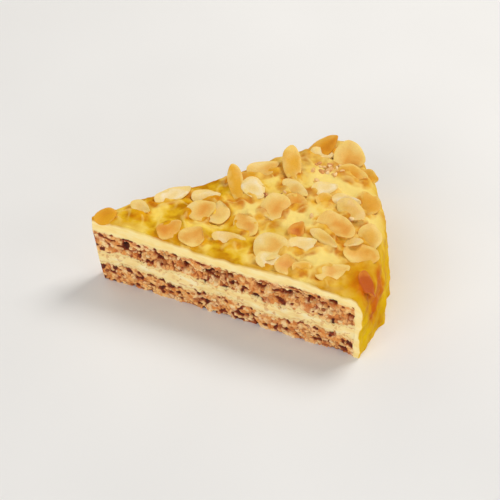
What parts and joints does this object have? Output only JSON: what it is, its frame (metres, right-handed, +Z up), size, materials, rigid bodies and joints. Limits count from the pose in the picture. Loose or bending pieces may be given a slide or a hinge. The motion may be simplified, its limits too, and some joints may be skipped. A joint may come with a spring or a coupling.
{
  "type": "almond cake slice",
  "caption": "Wedge slice of nut sponge with a cream filling, a cream coat over the top and outer edge, and flaked almonds pressed into the coat.",
  "frame": {"origin": "on the base, halfway between the tip and the outer edge", "axes": "+Z up, +X from the tip towards the outer edge, +Y across the slice"},
  "size_m": [0.1151, 0.0997, 0.0369],
  "materials": {
    "nut_sponge": "open, crumbly nut sponge in light and dark browns",
    "cream": "soft pale cream, satin where it is cut",
    "golden_cream": "golden cream with a soft gloss and a pale cut edge",
    "almond": "thin almond flakes from pale cream to toasted brown"
  },
  "bodies": {
    "root": {"base_sponge": "nut_sponge", "cream_filling": "cream", "upper_sponge": "nut_sponge", "cream_coat": "golden_cream"}
  },
  "joints": []
}
